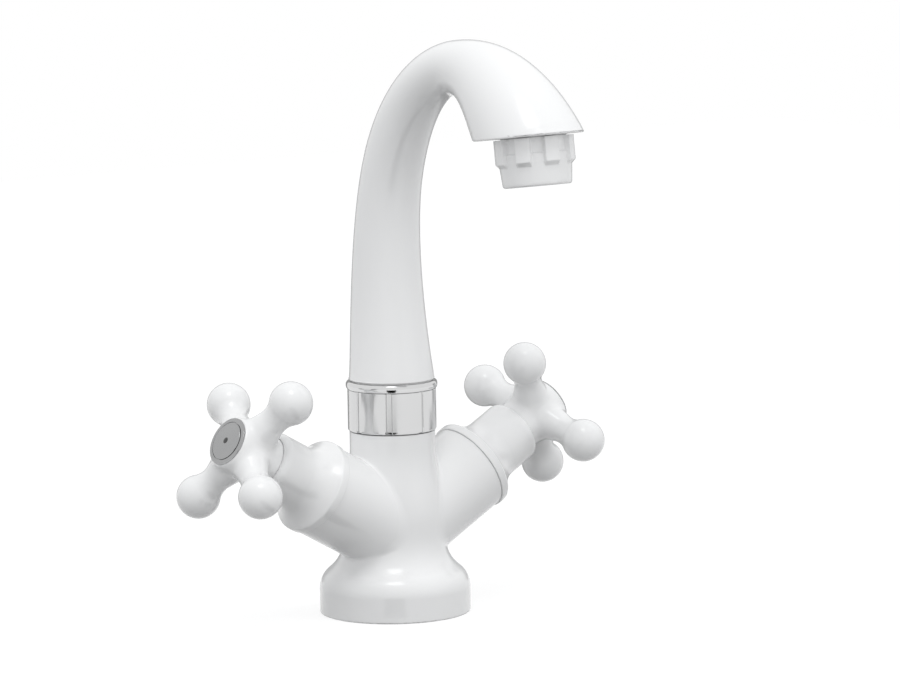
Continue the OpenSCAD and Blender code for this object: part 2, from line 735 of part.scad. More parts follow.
module handle(side) {
    turn = side == LEFT ? left_turn : right_turn;
    color("white") in_arm(side) difference() {
        union() {
            rotate_extrude() polygon(hub_outline());
            for (k = [0:3]) translate([0, 0, cross_at]) rotate([0, 0, turn + 90 * k]) rotate([0, 90, 0])
                rotate_extrude() polygon(limb_outline());
        }
        translate([0, 0, front_at]) cylinder(r = hub_d, h = hub_d);
        translate([0, 0, skirt_at - cut])
            spline(spline_d / 2 + screw_fit, spline_end + joint_gap - skirt_at + cut);
        translate([0, 0, spline_end])
            cylinder(r = screw_r + 2 * screw_fit, h = screw_seat - spline_end + cut);
        translate([0, 0, screw_seat]) cylinder(r = screw_head_r + screw_head_gap, h = hub_d);
        translate([0, 0, front_at - button_well_deep]) cylinder(d = button_well_d, h = hub_d);
    }
}
module handle_screw(side) {
    screw_from = spline_end - screw_hold + screw_short;
    slot_r = screw_slot_share * screw_head_r;
    color("silver") in_arm(side) difference() {
        union() {
            translate([0, 0, screw_seat]) cylinder(r = screw_head_r, h = screw_head_t);
            translate([0, 0, screw_from]) cylinder(r = screw_r, h = screw_seat - screw_from + cut);
        }
        for (flip = [0, 90]) rotate([0, 0, flip])
            translate([-slot_r, -screw_slot_w / 2, screw_seat + screw_head_t - screw_slot_deep])
                cube([2 * slot_r, screw_slot_w, screw_slot_deep + cut]);
    }
}
module button(side) {
    rim_r = button_d / 2;
    face_r = button_face_d / 2;
    plug_r = button_well_d / 2 - screw_fit;
    plug_len = button_well_deep - joint_gap;
    plug_inner = plug_r - button_wall;
    groove_z = button_t - groove_deep;
    face_z = button_t - button_sink;
    color("silver") in_arm(side) translate([0, 0, front_at]) rotate_extrude() polygon([
        [0, 0], [plug_inner, 0], [plug_inner, -plug_len], [plug_r, -plug_len],
        [plug_r, 0], [rim_r, 0], [rim_r, button_t - button_edge], [rim_r - button_edge, button_t],
        [face_r + groove_w, button_t], [face_r + groove_w, groove_z], [face_r, groove_z],
        [face_r, face_z], [0, face_z]]);
}

tap_body();
base_seal();
union_nut();
trim_ring();
slip_washer();
retaining_ring();
spout();
spout_spigot();
spout_o_rings();
aerator_housing();
aerator_washer();
flow_straightener();
aerator_screen();
headwork(LEFT);  // left_headwork
gasket(LEFT);  // left_gasket
seat_seal(LEFT);  // left_seat_seal
fixed_disc(LEFT);  // left_fixed_disc
moving_disc(LEFT);  // left_moving_disc
spindle(LEFT);  // left_spindle
thrust_washer(LEFT);  // left_thrust_washer
spindle_o_rings(LEFT);  // left_spindle_o_rings
spindle_clip(LEFT);  // left_spindle_clip
bonnet_cover(LEFT);  // left_bonnet_cover
handle(LEFT);  // left_handle
handle_screw(LEFT);  // left_handle_screw
button(LEFT);  // left_button
headwork(RIGHT);  // right_headwork
gasket(RIGHT);  // right_gasket
seat_seal(RIGHT);  // right_seat_seal
fixed_disc(RIGHT);  // right_fixed_disc
moving_disc(RIGHT);  // right_moving_disc
spindle(RIGHT);  // right_spindle
thrust_washer(RIGHT);  // right_thrust_washer
spindle_o_rings(RIGHT);  // right_spindle_o_rings
spindle_clip(RIGHT);  // right_spindle_clip
bonnet_cover(RIGHT);  // right_bonnet_cover
handle(RIGHT);  // right_handle
handle_screw(RIGHT);  // right_handle_screw
button(RIGHT);  // right_button
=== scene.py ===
"""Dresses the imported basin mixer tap: smooth skins over its mouldings, finer turned pieces, materials,
a plain white studio and the camera. The tap's sizes are in millimetres, as in the part's source, and
become metres when a mesh is made. Those of the lamps, cards and floor are in metres."""
import json
import math

import bmesh
import bpy
import numpy as np
from mathutils import Matrix, Vector


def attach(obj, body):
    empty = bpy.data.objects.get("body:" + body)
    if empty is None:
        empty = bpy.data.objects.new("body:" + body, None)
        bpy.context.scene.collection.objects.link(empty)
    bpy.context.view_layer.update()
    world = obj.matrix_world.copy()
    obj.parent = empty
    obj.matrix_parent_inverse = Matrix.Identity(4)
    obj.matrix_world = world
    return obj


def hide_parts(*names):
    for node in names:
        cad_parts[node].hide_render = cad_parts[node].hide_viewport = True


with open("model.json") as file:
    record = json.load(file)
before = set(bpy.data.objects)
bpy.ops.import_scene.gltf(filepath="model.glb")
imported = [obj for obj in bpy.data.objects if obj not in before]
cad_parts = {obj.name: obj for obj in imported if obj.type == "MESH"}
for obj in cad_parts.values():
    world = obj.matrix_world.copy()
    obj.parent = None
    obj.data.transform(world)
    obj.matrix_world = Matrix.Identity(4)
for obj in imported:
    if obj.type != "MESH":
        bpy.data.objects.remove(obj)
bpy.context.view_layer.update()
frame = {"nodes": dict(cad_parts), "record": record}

MM = 0.001
LEFT, RIGHT = -1, 1
SIDES = {"left": LEFT, "right": RIGHT}

# Base, column and arms. A pull is how far a curve's handle reaches, and a spare is cut off again.
BASE_R, BASE_WALL_H, BASE_EDGE_R = 28.0, 9.0, 0.5
SHOULDER_R, SHOULDER_SLOPE = 9.2, 51.0
COLUMN_R, COLUMN_H = 15.85, 67.8
WAIST_PULL, WAIST_R, WAIST_Z, WAIST_TOP = 9.3, 19.2, 36.0, 62.0
PULL_BELOW, PULL_ABOVE, PULL_TOP = 7.0, 9.0, 9.5
NECK_R, NECK_TOP, COLUMN_SPARE = 13.2, 79.0, 4.0
ARM_Z, ARM_TILT, ARM_R, ARM_LEN = 30.3, 29.0, 17.1, 40.0
ARM_FILLET, ARM_SPARE, ARM_BEVEL, COVER_GAP = 1.2, 3.0, 0.06, 0.1
VALVE_BORE_R, VALVE_SEAT, PORT_FROM, PORT_R = 10.4, 18.0, 6.0, 4.2
INLET_X, INLET_R, INLET_DEPTH, PASSAGE_R = 9.0, 4.5, 12.0, 3.2
STUD_BACK, STUD_R, STUD_DEPTH = 13.0, 3.4, 14.0
SEAL_R, SEAL_W, SEAL_T, FIT = 24.8, 3.6, 2.0, 0.1
SOCKET_R, SOCKET_FLOOR, CHAMBER_R, CHAMBER_Z = 9.55, 57.2, 7.0, 45.2

# Bonnet covers and cross handles, measured along an arm
RIM_R, RIM_H, FLARE_LEN, SLEEVE_R = 17.65, 3.6, 9.3, 12.0
COVER_FROM, COVER_END, COVER_EDGE, COVER_ROUND = 40.35, 66.0, 0.3, 3.0
FLARE_SLOPE, FLARE_PULL, SLEEVE_PULL, RIM_EDGE = 50.0, 2.4, 5.0, 1.2
COVER_MOUTH_R, CAVITY_R, COVER_SEAT, COVER_THREAD_R, THREAD_TOP = 9.75, 13.2, 46.1, 8.1, 52.1
CROSS_AT, HUB_FRONT, HUB_R, SKIRT_R, SKIRT_AT = 76.4, 8.1, 10.3, 9.55, 58.5
FRONT_AT = CROSS_AT + HUB_FRONT
HUB_EDGE, HUB_FLARE, HUB_WEB, HUB_SPARE, FACE_R = 0.4, 9.0, 2.0, 3.0, 9.1
LIMB_R, LIMB_AT, LIMB_TAPER, LIMB_ROOT = 5.1, 16.0, 14.0, 2.0
BALL_R, BALL_OUT, BLEND_R, WEB = 8.0, 25.7, 9.0, 1.2
WELL_R, WELL_DEEP, SPLINE_BORE_R, SPLINE_END, SCREW_SEAT = 7.8, 5.2, 4.4, 69.7, 74.9
SCREW_BORE_R, SCREW_WELL_R = 2.2, 4.1
TURN = {"left": 52.3, "right": 21.8}
BUTTON_R, BUTTON_RIM, BUTTON_T, BUTTON_FACE_R, DOT_R = 9.1, 0.7, 1.05, 7.2, 1.15

# Union nut and trim ring
NUT_Z, NUT_R, NUT_H, NUT_EDGE, NUT_TURN = 68.1, 16.4, 15.4, 0.7, 4.5
FLUTES, FLUTE_W, FLUTE_DEEP = 8, 2.2, 0.6
NUT_TOP, NUT_FLANGE, NUT_THREAD_R, COLLAR_R = 83.5, 4.0, 13.8, 9.8
TRIM_R, TRIM_H, TRIM_BULGE = 17.0, 3.1, 1.25

# Spout
FOOT_Z, OUTLET_REACH, OUTLET_Z, OUTLET_TILT = 87.0, 86.0, 181.9, 7.0
WATERWAY_R, SPOUT_WALL, SPIGOT_HOLE_R, SPIGOT_HOLE_DEEP = 7.6, 2.8, 10.5, 11.1
RUN_OUT = 14.0
# Reach, height, heading, radius, change of radius, handle length behind, handle length ahead
KNOTS = [
    (0.0, 87.0, 90.0, 15.95, -0.177, 0.0, 6.6),
    (3.0, 165.2, 72.8, 11.35, -0.023, 29.2, 30.8),
    (43.2, 204.1, 0.0, 10.0, 0.119, 11.5, 15.2),
    (85.4, 177.2, -54.1, 19.3, 0.078, 24.3, 0.0),
]

# Aerator, measured out of the outlet's face
THREAD_R, THREAD_LEN, WASHER_T = 12.0, 4.6, 1.2
NOZZLE_R, NOZZLE_END_R, NOZZLE_LEN = 13.0, 12.25, 17.5
RECESS, RECESS_DEEP, LUG_R, LUG_LEN = 5.5, 0.6, 14.35, 9.0
LUGS, LUG_ANGLE, LUG_SHIFT = 8, 24.0, -11.5
INSERT_R, LIP_T, LIP_W = 10.0, 1.3, 0.8

# Camera: turned from the front, raised, its distance and aim, its roll and its focal length
CAMERA_TURN, CAMERA_RISE, CAMERA_ROLL = 37.43, 7.57, -0.9
CAMERA_DISTANCE, AIM_RIGHT, AIM_HEIGHT = 1722.24, 21.85, 101.9
FOCAL_PIXELS, PHOTO_WIDTH, SENSOR = 4667.25, 900, 36.0

# Distance of the lamps, and the heights round which lamps and cards stand, in metres
LAMP_DISTANCE, LAMP_AIM, CARD_AIM = 1.7, 0.1, 0.085


def arc(centre, radius, start, stop, steps):
    a = np.radians(np.linspace(start, stop, steps + 1))
    return np.stack([centre[0] + radius * np.cos(a), centre[1] + radius * np.sin(a)], 1)


def bezier_at(points, t):
    t = t[:, None]
    a, b, c, d = (np.array(p, float) for p in points)
    return (1 - t) ** 3 * a + 3 * (1 - t) ** 2 * t * b + 3 * (1 - t) * t * t * c + t ** 3 * d


def bezier(points, steps):
    return bezier_at(points, np.linspace(0, 1, steps + 1))


def new_mesh(name, vertices, faces):
    mesh = bpy.data.meshes.new(name)
    mesh.from_pydata(vertices.tolist(), [], faces if isinstance(faces, list) else faces.tolist())
    mesh.validate()
    work = bmesh.new()
    work.from_mesh(mesh)
    bmesh.ops.remove_doubles(work, verts=work.verts, dist=1e-4)
    bmesh.ops.recalc_face_normals(work, faces=work.faces)
    work.to_mesh(mesh)
    work.free()
    return mesh


def grid_faces(rows, columns, closed_rows):
    """Quads of a grid whose columns close on themselves, and its rows too if they are asked to."""
    i = np.arange(rows if closed_rows else rows - 1)[:, None]
    k = np.arange(columns)[None, :]
    j, m = (i + 1) % rows, (k + 1) % columns
    corners = [i * columns + k, i * columns + m, j * columns + m, j * columns + k]
    return np.stack([c * np.ones_like(i * k) for c in corners], -1).reshape(-1, 4)


def revolve(outline, steps=160, closed=False):
    """Vertices and faces of an outline of radius and height turned about Z."""
    outline = np.array(outline, float)
    a = np.arange(steps) * 2 * math.pi / steps
    radius, height = outline[:, :1], outline[:, 1:]
    rings = np.stack([radius * np.cos(a), radius * np.sin(a), height + 0 * a], -1)
    return rings.reshape(-1, 3), grid_faces(len(outline), steps, closed)


def in_arm(side):
    """Places what was turned about Z on the axis of an arm."""
    lean = math.radians(90 - ARM_TILT)
    return Matrix.Translation((0, 0, ARM_Z)) @ Matrix.Rotation(side * lean, 4, "Y")


AT_OUTLET = (Matrix.Translation((0, -OUTLET_REACH, OUTLET_Z))
             @ Matrix.Rotation(math.radians(180 - OUTLET_TILT), 4, "X"))


def piece(name, mesh, body, material, stands_for, place=None, sharp=30, weighted=True):
    """Makes a mesh in millimetres a piece of the object, and lets it stand for a CAD node."""
    if place is not None:
        mesh.transform(place)
    mesh.transform(Matrix.Scale(MM, 4))
    mesh.shade_smooth()
    if sharp is not None:
        mesh.set_sharp_from_angle(angle=math.radians(sharp))
    mesh.materials.clear()
    mesh.materials.append(material)
    obj = bpy.data.objects.new(name, mesh)
    bpy.context.scene.collection.objects.link(obj)
    if weighted:
        even = obj.modifiers.new("Even shading", "WEIGHTED_NORMAL")
        even.keep_sharp = True
    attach(obj, body)
    if stands_for:
        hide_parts(stands_for)
    return obj


# Signed distances, from which the skins of the body and of the handles are made

def revolved_distance(outline, pitch=0.12, pad=5.0):
    """Signed distance to a turned solid, looked up in a fine table by radius and height."""
    r_axis = np.arange(0, outline[:, 0].max() + pad, pitch)
    z_axis = np.arange(outline[:, 1].min() - pad, outline[:, 1].max() + pad, pitch)
    r, z = r_axis[:, None], z_axis[None, :]
    nearest = np.full((len(r_axis), len(z_axis)), np.inf)
    inside = np.zeros(nearest.shape, bool)
    for (ar, az), (br, bz) in zip(outline[:-1], outline[1:]):
        dr, dz = br - ar, bz - az
        square = dr * dr + dz * dz
        if square == 0:
            continue
        t = np.clip(((r - ar) * dr + (z - az) * dz) / square, 0, 1)
        nearest = np.minimum(nearest, (r - ar - t * dr) ** 2 + (z - az - t * dz) ** 2)
        if dz:
            inside ^= ((az > z) != (bz > z)) & (r < ar + (z - az) * dr / dz)
    value = np.where(inside, -1, 1) * np.sqrt(nearest)
    # What lies outside the table takes the value just inside its last row or column
    edge = 1.001

    def distance(radius, height):
        u = np.clip(radius / pitch, 0, len(r_axis) - edge)
        v = np.clip((height - z_axis[0]) / pitch, 0, len(z_axis) - edge)
        i, j = u.astype(int), v.astype(int)
        u, v = u - i, v - j
        low = value[i, j] * (1 - u) + value[i + 1, j] * u
        high = value[i, j + 1] * (1 - u) + value[i + 1, j + 1] * u
        return low * (1 - v) + high * v

    return distance


def filleted(a, b, radius):
    """Union of two solids with a rounded inner corner of that radius."""
    corner = np.hypot(np.maximum(radius - a, 0), np.maximum(radius - b, 0))
    return np.maximum(radius, np.minimum(a, b)) - corner


def blended(a, b, width):
    """Union of two solids whose surfaces flow together where they are closer than width."""
    near = np.maximum(width - np.abs(a - b), 0) / width
    return np.minimum(a, b) - near * near * width / 4


def slope_of(distance, p, step=0.15):
    """Which way, and how steeply, the distance grows at each point."""
    g = np.empty_like(p)
    for k in range(3):
        ahead, behind = p.copy(), p.copy()
        ahead[:, k] += step
        behind[:, k] -= step
        g[:, k] = (distance(*ahead.T) - distance(*behind.T)) / (2 * step)
    return g


def skin(name, distance, low, high, pitch, evened=4, least_slope=0.2):
    """A closed mesh on the surface where distance is zero, with its vertices evened out on it."""
    axes = [np.arange(a, b + pitch, pitch) for a, b in zip(low, high)]
    value = np.stack([distance(x, axes[1][:, None], axes[2][None, :]) for x in axes[0]])
    inside = value < 0
    shape = np.array(value.shape) - 1
    corners = [(i, j, k) for i in (0, 1) for j in (0, 1) for k in (0, 1)]

    def part(array, corner):
        i, j, k = corner
        return array[i:i + shape[0], j:j + shape[1], k:k + shape[2]]

    # A vertex in each cell that the surface passes, amid the places where it crosses the cell's edges
    count = sum(part(inside, c).astype(np.int8) for c in corners)
    cells = np.argwhere((count > 0) & (count < 8))
    number = np.full(shape, -1, np.int64)
    number[tuple(cells.T)] = np.arange(len(cells))
    total, hits = np.zeros((len(cells), 3)), np.zeros((len(cells), 1))
    for c in corners:
        for axis in range(3):
            if c[axis]:
                continue
            a, b = cells + c, cells + c
            b[:, axis] += 1
            va, vb = value[tuple(a.T)], value[tuple(b.T)]
            crossed = (va < 0) != (vb < 0)
            t = np.where(crossed, va / np.where(crossed, va - vb, 1), 0)
            point = a.astype(float)
            point[:, axis] += t
            total[crossed] += point[crossed]
            hits[crossed] += 1
    points = np.array([a[0] for a in axes]) + total / hits * pitch

    # A quad round each crossed edge, from the four cells that share the edge
    faces = []
    for axis in range(3):
        one, two = [k for k in range(3) if k != axis]
        first = [slice(1, s) for s in shape]
        first[axis] = slice(0, shape[axis])
        second = list(first)
        second[axis] = slice(1, shape[axis] + 1)
        a = inside[tuple(first)]
        edges = np.argwhere(a != inside[tuple(second)])
        edges[:, one] += 1
        edges[:, two] += 1
        around = []
        for d_one, d_two in ((0, 0), (-1, 0), (-1, -1), (0, -1)):
            cell = edges.copy()
            cell[:, one] += d_one
            cell[:, two] += d_two
            around.append(number[tuple(cell.T)])
        faces.append(np.stack(around, 1))
    faces = np.concatenate(faces)

    def settle(p, rounds):
        for _ in range(rounds):
            g = slope_of(distance, p)
            square = np.maximum((g * g).sum(1, keepdims=True), least_slope)
            p = p - distance(*p.T)[:, None] * g / square
        return p

    points = settle(points, 3)
    ends = np.concatenate([faces[:, [k, (k + 1) % 4]] for k in range(4)])
    for _ in range(evened):
        near, degree = np.zeros_like(points), np.zeros(len(points))
        for a, b in ((0, 1), (1, 0)):
            for k in range(3):
                near[:, k] += np.bincount(ends[:, a], points[ends[:, b], k], len(points))
            degree += np.bincount(ends[:, a], minlength=len(points))
        points = settle(0.5 * points + 0.5 * near / degree[:, None], 1)
    return new_mesh(name, settle(points, 2), faces)


def cut_away(mesh, cutters):
    """Takes turned solids out of a closed mesh. A cutter is an outline, its place and its count of
    steps round."""
    obj = bpy.data.objects.new("cut", mesh)
    bpy.context.scene.collection.objects.link(obj)
    tools = []
    for outline, place, steps in cutters:
        tool = bpy.data.objects.new("cutter", new_mesh("cutter", *revolve(outline, steps)))
        tool.matrix_world = place
        bpy.context.scene.collection.objects.link(tool)
        cut = obj.modifiers.new("cut", "BOOLEAN")
        cut.operation = "DIFFERENCE"
        cut.solver = "MANIFOLD"
        cut.object = tool
        tools.append(tool)
    bpy.context.view_layer.update()
    shown = obj.evaluated_get(bpy.context.evaluated_depsgraph_get())
    result = bpy.data.meshes.new_from_object(shown)
    for tool in [obj] + tools:
        data = tool.data
        bpy.data.objects.remove(tool)
        bpy.data.meshes.remove(data)
    return result


def vectors(items, key):
    values = np.zeros(len(items) * 3, np.float32)
    items.foreach_get(key, values)
    return values.reshape(-1, 3).astype(float)


def whole_numbers(items, key):
    values = np.zeros(len(items), np.int32)
    items.foreach_get(key, values)
    return values


def shade_by(mesh, distance, sharp=30, follow=32, close=0.03):
    """Shades the skin by the slope of its own distance, and what was cut into it by its faces. A corner
    is on the skin if it is close to it and its face leans less than follow degrees from the slope."""
    mesh.shade_smooth()
    mesh.set_sharp_from_angle(angle=math.radians(sharp))
    normals = vectors(mesh.corner_normals, "vector")
    points = vectors(mesh.vertices, "co")
    vertex = whole_numbers(mesh.loops, "vertex_index")
    sizes = whole_numbers(mesh.polygons, "loop_total")
    face = np.repeat(vectors(mesh.polygons, "normal"), sizes, axis=0)
    g = slope_of(distance, points)
    g /= np.linalg.norm(g, axis=1, keepdims=True)
    on_skin = (np.abs(distance(*points.T)) < close)[vertex]
    g = g[vertex]
    on_skin &= (g * face).sum(1) > math.cos(math.radians(follow))
    normals[on_skin] = g[on_skin]
    mesh.normals_split_custom_set(normals.tolist())


# Materials

def shader(name, metallic, colours, rough, bump, scale, **sockets):
    """A Principled material with two close shades, an uneven gloss and a faint waviness. bump holds the
    strength, depth and scale of the waves, and scale is that of the shades."""
    finer = 3.1
    material = bpy.data.materials.new(name)
    material.use_nodes = True
    nodes, links = material.node_tree.nodes, material.node_tree.links
    body = nodes["Principled BSDF"]
    body.inputs["Metallic"].default_value = metallic
    for key, value in sockets.items():
        body.inputs[key.replace("_", " ")].default_value = value
    place = nodes.new("ShaderNodeTexCoord")

    def noise(size, detail):
        node = nodes.new("ShaderNodeTexNoise")
        node.inputs["Scale"].default_value = size
        node.inputs["Detail"].default_value = detail
        links.new(place.outputs["Object"], node.inputs["Vector"])
        return node

    cloud = noise(scale, 3)
    shade = nodes.new("ShaderNodeMix")
    shade.data_type = "RGBA"
    shade.inputs["A"].default_value = (*colours[0], 1)
    shade.inputs["B"].default_value = (*colours[1], 1)
    links.new(cloud.outputs["Fac"], shade.inputs["Factor"])
    links.new(shade.outputs["Result"], body.inputs["Base Color"])
    gloss = nodes.new("ShaderNodeMapRange")
    gloss.inputs["To Min"].default_value = rough[0]
    gloss.inputs["To Max"].default_value = rough[1]
    links.new(noise(scale * finer, 4).outputs["Fac"], gloss.inputs["Value"])
    links.new(gloss.outputs["Result"], body.inputs["Roughness"])
    waves = nodes.new("ShaderNodeBump")
    waves.inputs["Strength"].default_value = bump[0]
    waves.inputs["Distance"].default_value = bump[1]
    links.new(noise(bump[2], 2).outputs["Fac"], waves.inputs["Height"])
    links.new(waves.outputs["Normal"], body.inputs["Normal"])
    return material


def grey(value, tint=0.0):
    return (value, value + tint / 2, value + tint)


white = shader("white_plastic", 0, (grey(0.84, 0.004), grey(0.87, 0.002)), (0.16, 0.24),
               (0.04, 0.0004, 90), 22, Coat_Weight=0.35, Coat_Roughness=0.1)
chrome = shader("chrome_trim", 1, (grey(0.63, 0.004), grey(0.68, 0.002)), (0.08, 0.14),
                (0.03, 0.0003, 120), 40)
soft_chrome = shader("soft_chrome_trim", 1, (grey(0.62, 0.004), grey(0.67, 0.002)), (0.15, 0.18),
                     (0.02, 0.0003, 120), 40)
satin = shader("satin_chrome", 1, (grey(0.33, 0.006), grey(0.4, 0.006)), (0.2, 0.28),
               (0.08, 0.0002, 700), 60)
brass = shader("brass", 1, ((0.68, 0.5, 0.22), (0.76, 0.6, 0.32)), (0.2, 0.34), (0.1, 0.0002, 500), 60)
steel = shader("steel", 1, (grey(0.52), grey(0.62)), (0.25, 0.38), (0.1, 0.0002, 600), 80)
rubber = shader("black_rubber", 0, (grey(0.02), grey(0.04)), (0.55, 0.7), (0.2, 0.0002, 900), 120)
ceramic = shader("ceramic", 0, ((0.8, 0.78, 0.73), (0.85, 0.83, 0.79)), (0.2, 0.3),
                 (0.05, 0.0001, 600), 90)
acetal = shader("acetal", 0, ((0.82, 0.8, 0.72), (0.87, 0.85, 0.79)), (0.32, 0.42),
                (0.1, 0.0002, 400), 70)
liner = shader("white_liner", 0, (grey(0.8), grey(0.86)), (0.35, 0.45), (0.1, 0.0002, 400), 70)
dark = shader("dot_enamel", 0, (grey(0.025), grey(0.04)), (0.25, 0.35), (0.05, 0.0001, 500), 200)
MATERIALS = {"white_plastic": white, "chrome_trim": chrome, "satin_chrome": satin, "brass": brass,
             "steel": steel, "black_rubber": rubber, "ceramic": ceramic, "acetal": acetal,
             "white_liner": liner}


# Body

def body_outline():
    turn = math.radians(SHOULDER_SLOPE)
    end = np.array([BASE_R - SHOULDER_R * (1 - math.cos(turn)),
                    BASE_WALL_H + SHOULDER_R * math.sin(turn)])
    waist = bezier([end, end + WAIST_PULL * np.array([-math.sin(turn), math.cos(turn)]),
                    [WAIST_R, WAIST_Z - PULL_BELOW], [WAIST_R, WAIST_Z]], 40)
    neck = bezier([[WAIST_R, WAIST_Z], [WAIST_R, WAIST_Z + PULL_ABOVE],
                   [COLUMN_R, WAIST_TOP - PULL_TOP], [COLUMN_R, WAIST_TOP]], 40)[1:]
    top = NECK_TOP + COLUMN_SPARE
    return np.concatenate([
        [[0, 0]],
        arc([BASE_R - BASE_EDGE_R, BASE_EDGE_R], BASE_EDGE_R, -90, 0, 16),
        arc([BASE_R - SHOULDER_R, BASE_WALL_H], SHOULDER_R, 0, SHOULDER_SLOPE, 24),
        waist, neck,
        [[COLUMN_R, top], [0, top]]])


column_distance = revolved_distance(body_outline())


def body_distance(x, y, z):
    total = column_distance(np.hypot(x, y), z)
    ux, uz = math.cos(math.radians(ARM_TILT)), math.sin(math.radians(ARM_TILT))
    for side in (LEFT, RIGHT):
        along = side * x * ux + (z - ARM_Z) * uz
        radial = np.hypot(y, (z - ARM_Z) * ux - side * x * uz)
        arm = np.maximum(np.maximum(radial - ARM_R, along - ARM_LEN - ARM_SPARE), -along)
        total = filleted(total, arm, ARM_FILLET)
    return total


def upright(x, y):
    return Matrix.Translation((x, y, 0))


def make_body():
    low, high, pitch = (-46, -30, -2), (46, 30, 86), 0.7
    mesh = skin("tap_body_skin", body_distance, low, high, pitch)
    below, above = -1, 90
    beside_column, beside_arm, past_arm = 3, 4, 8
    seal_in, seal_out = SEAL_R - SEAL_W - FIT, SEAL_R + FIT
    cuts = [
        ([[0, NECK_TOP], [NECK_R, NECK_TOP], [NECK_R, COLUMN_H], [COLUMN_R + beside_column, COLUMN_H],
          [COLUMN_R + beside_column, above], [0, above]], Matrix.Identity(4), 160),
        ([[0, CHAMBER_Z], [CHAMBER_R, CHAMBER_Z], [CHAMBER_R, SOCKET_FLOOR], [SOCKET_R, SOCKET_FLOOR],
          [SOCKET_R, above + 1], [0, above + 1]], Matrix.Identity(4), 96),
        ([[0, below], [STUD_R, below], [STUD_R, STUD_DEPTH], [0, STUD_DEPTH]],
         upright(0, STUD_BACK), 48),
        ([[seal_in, below], [seal_out, below], [seal_out, SEAL_T], [seal_in, SEAL_T], [seal_in, below]],
         Matrix.Identity(4), 160),
    ]
    arm_end = COVER_FROM - COVER_GAP
    bevel_end = arm_end - ARM_BEVEL - 1
    inlet_top = ARM_Z + INLET_X * math.tan(math.radians(ARM_TILT))
    for side in (LEFT, RIGHT):
        cuts.append(([[0, PORT_FROM], [PORT_R, PORT_FROM], [PORT_R, VALVE_SEAT],
                      [VALVE_BORE_R, VALVE_SEAT], [VALVE_BORE_R, arm_end], [ARM_R - ARM_BEVEL, arm_end],
                      [ARM_R + 1, bevel_end], [ARM_R + beside_arm, bevel_end],
                      [ARM_R + beside_arm, arm_end + past_arm], [0, arm_end + past_arm]],
                     in_arm(side), 160))
        cuts.append(([[0, below], [INLET_R, below], [INLET_R, INLET_DEPTH], [PASSAGE_R, INLET_DEPTH],
                      [PASSAGE_R, inlet_top], [0, inlet_top]], upright(side * INLET_X, 0), 64))
    mesh = cut_away(mesh, cuts)
    shade_by(mesh, body_distance)
    piece("tap_body_skin", mesh, "tap_body", white, "tap_body",
          sharp=None, weighted=False)


# Handles

def limb_outline():
    """A limb that narrows in a straight line from the hub and swells into its ball in a hollow arc."""
    turn = math.radians(LIMB_TAPER)
    outward = np.array([math.cos(turn), math.sin(turn)])
    ahead = np.array([-math.sin(turn), math.cos(turn)])
    neck, ball = np.array([LIMB_R, LIMB_AT]), np.array([0, BALL_OUT])
    centre = neck + outward * BLEND_R
    # The hollow arc slides along the limb until it touches the ball
    back = (centre - ball) @ ahead
    centre = centre - ahead * (back + math.sqrt(
        back ** 2 - (centre - ball) @ (centre - ball) + (BALL_R + BLEND_R) ** 2))
    meet = math.degrees(math.atan2(*(ball - centre)[::-1]))
    root = neck - ahead * (LIMB_AT - LIMB_ROOT) / math.cos(turn)
    return np.concatenate([
        [[0, root[1]], root],
        arc(centre, BLEND_R, 180 + LIMB_TAPER, meet, 40),
        arc(ball, BALL_R, meet - 180, 90, 60)[1:]])


def hub_outline():
    half = HUB_FLARE / 2
    step_in, step_up = 0.1, 0.15
    top = FRONT_AT + HUB_SPARE
    return np.concatenate([
        [[0, SKIRT_AT], [SKIRT_R - HUB_EDGE, SKIRT_AT]],
        arc([SKIRT_R - HUB_EDGE, SKIRT_AT + HUB_EDGE], HUB_EDGE, -90, 0, 6)[1:],
        bezier([[SKIRT_R, CROSS_AT - HUB_FLARE], [SKIRT_R, CROSS_AT - half], [HUB_R, CROSS_AT - half],
                [HUB_R, CROSS_AT]], 30),
        bezier([[HUB_R, CROSS_AT], [HUB_R, CROSS_AT + HUB_FRONT / 2], [HUB_R, FRONT_AT - HUB_EDGE],
                [FACE_R, FRONT_AT]], 30)[1:],
        [[FACE_R - step_in, FRONT_AT + step_up], [FACE_R - step_in, top], [0, top]]])


limb_distance = revolved_distance(limb_outline())
hub_distance = revolved_distance(hub_outline())


def handle_distance(x, y, z):
    lift = z - CROSS_AT
    limbs = None
    for along, across in ((x, y), (y, x), (-x, y), (-y, x)):
        limb = limb_distance(np.hypot(across, lift), along)
        limbs = limb if limbs is None else blended(limbs, limb, WEB)
    return blended(limbs, hub_distance(np.hypot(x, y), z), HUB_WEB)


def make_handles():
    margin, pitch = 2, 0.55
    reach = BALL_OUT + BALL_R + margin
    low, high = (-reach, -reach, SKIRT_AT - margin), (reach, reach, FRONT_AT + HUB_SPARE + margin)
    mesh = skin("handle_skin", handle_distance, low, high, pitch)
    deep = FRONT_AT - WELL_DEEP
    below, above, outside = SKIRT_AT - 1, FRONT_AT + 9, 20
    mesh = cut_away(mesh, [([
        [0, below], [SPLINE_BORE_R, below], [SPLINE_BORE_R, SPLINE_END], [SCREW_BORE_R, SPLINE_END],
        [SCREW_BORE_R, SCREW_SEAT], [SCREW_WELL_R, SCREW_SEAT], [SCREW_WELL_R, deep], [WELL_R, deep],
        [WELL_R, FRONT_AT], [outside, FRONT_AT], [outside, above], [0, above]],
        Matrix.Identity(4), 128)])
    shade_by(mesh, handle_distance)
    for name, side in SIDES.items():
        own = mesh.copy()
        place = in_arm(side) @ Matrix.Rotation(math.radians(TURN[name]), 4, "Z")
        piece(f"{name}_handle_skin", own, f"{name}_handle", white, f"{name}_handle",
              place, sharp=None, weighted=False)
    bpy.data.meshes.remove(mesh)


# Spout

def way_of(heading):
    return np.array([math.cos(math.radians(heading)), math.sin(math.radians(heading))])


